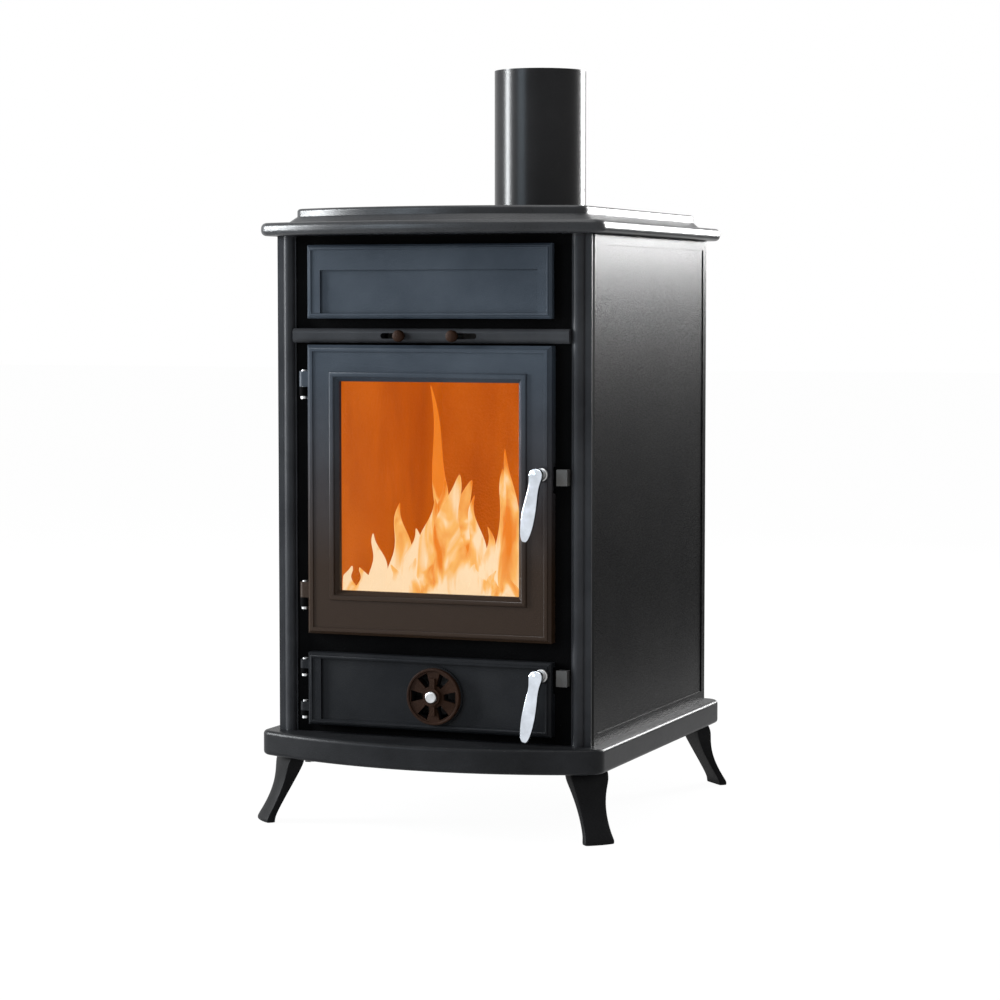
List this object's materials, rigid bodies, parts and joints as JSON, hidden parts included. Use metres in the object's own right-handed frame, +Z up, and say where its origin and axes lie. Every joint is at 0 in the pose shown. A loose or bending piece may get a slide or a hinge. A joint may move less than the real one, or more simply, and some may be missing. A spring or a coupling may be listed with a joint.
{
  "type": "cast iron wood stove",
  "caption": "Black cast iron wood stove with a bowed top plate, round flue pipe, glazed fire door, ash door with a round damper, two silver lever handles and four splayed legs.",
  "frame": {"origin": "centre of the bounding box on the floor", "axes": "+X to the right seen from the front, +Y to the back, +Z up"},
  "size_m": [0.59, 0.683, 1.177],
  "materials": {
    "stove_black": "satin stove paint on cast iron",
    "satin_black": "satin",
    "damper_iron": "matte",
    "sheet_steel": "matte",
    "hearth_iron": "heat-marked",
    "fasteners": "bright zinc",
    "bright_handle": "polished",
    "pane": "clear ceramic glass",
    "rope": "woven glass rope",
    "fire_brick": "vermiculite board"
  },
  "bodies": {
    "stove": {"front_frame": "stove_black", "base_plate": "stove_black", "front_left_leg": "stove_black", "front_right_leg": "stove_black", "rear_left_leg": "stove_black", "rear_right_leg": "stove_black", "top_plate": "stove_black", "upper_panel": "stove_black", "grate": "stove_black", "log_guard": "stove_black", "flue_spigot": "stove_black", "left_side_panel": "satin_black", "right_side_panel": "satin_black", "left_corner_post": "satin_black", "right_corner_post": "satin_black", "air_rail": "satin_black", "flue_pipe": "satin_black", "back_panel": "sheet_steel", "rear_heat_shield": "sheet_steel", "airwash_box": "sheet_steel", "air_slide_guides": "sheet_steel", "ash_pan": "sheet_steel", "ash_pan_runners": "sheet_steel", "hearth_supports": "sheet_steel", "fire_door_keeper": "sheet_steel", "ash_door_keeper": "sheet_steel", "hearth_plate": "hearth_iron", "leg_bolts": "fasteners", "shield_spacers": "fasteners", "shield_screws": "fasteners", "spigot_screws": "fasteners", "tie_rods": "fasteners", "tie_rod_nuts": "fasteners", "hinge_pins": "fasteners", "keeper_screws": "fasteners", "upper_panel_screws": "fasteners", "side_fire_bricks": "fire_brick", "rear_fire_brick": "fire_brick", "baffle_plate": "fire_brick"},
    "fire_door": {"fire_door_frame": "stove_black", "door_glass": "pane", "glass_gasket": "rope", "glass_clips": "sheet_steel", "glass_clip_screws": "fasteners", "fire_door_seal": "rope"},
    "fire_handle": {"fire_handle_spindle": "fasteners", "fire_handle_lever": "bright_handle", "fire_latch_tongue": "fasteners"},
    "ash_door": {"ash_door_panel": "stove_black", "ash_door_seal": "rope", "rosette_stud": "fasteners"},
    "ash_handle": {"ash_handle_spindle": "fasteners", "ash_handle_lever": "bright_handle", "ash_latch_tongue": "fasteners"},
    "rosette": {"air_rosette": "damper_iron"},
    "left_air_slide": {"left_air_knob": "damper_iron", "left_air_plate": "sheet_steel"},
    "right_air_slide": {"right_air_knob": "damper_iron", "right_air_plate": "sheet_steel"}
  },
  "joints": [
    {"name": "fire_door_hinge", "type": "hinge", "parent": "stove", "child": "fire_door", "pos_m": [-0.207, -0.2645, 0.515], "axis": [0, 0, -1], "range_deg": [0, 115]},
    {"name": "fire_handle_turn", "type": "hinge", "parent": "fire_door", "child": "fire_handle", "pos_m": [0.186, -0.2755, 0.546], "axis": [0, -1, 0], "range_deg": [0, 75]},
    {"name": "ash_door_hinge", "type": "hinge", "parent": "stove", "child": "ash_door", "pos_m": [-0.207, -0.2645, 0.2105], "axis": [0, 0, -1], "range_deg": [0, 115]},
    {"name": "ash_handle_turn", "type": "hinge", "parent": "ash_door", "child": "ash_handle", "pos_m": [0.186, -0.2755, 0.248], "axis": [0, -1, 0], "range_deg": [0, 75]},
    {"name": "rosette_turn", "type": "hinge", "parent": "ash_door", "child": "rosette", "pos_m": [0.012, -0.2783, 0.208], "axis": [0, -1, 0], "range_deg": [0, 30]},
    {"name": "left_air_slide_move", "type": "slide", "parent": "stove", "child": "left_air_slide", "axis": [-1, 0, 0], "range_m": [0, 0.03]},
    {"name": "right_air_slide_move", "type": "slide", "parent": "stove", "child": "right_air_slide", "axis": [1, 0, 0], "range_m": [0, 0.03]}
  ]
}
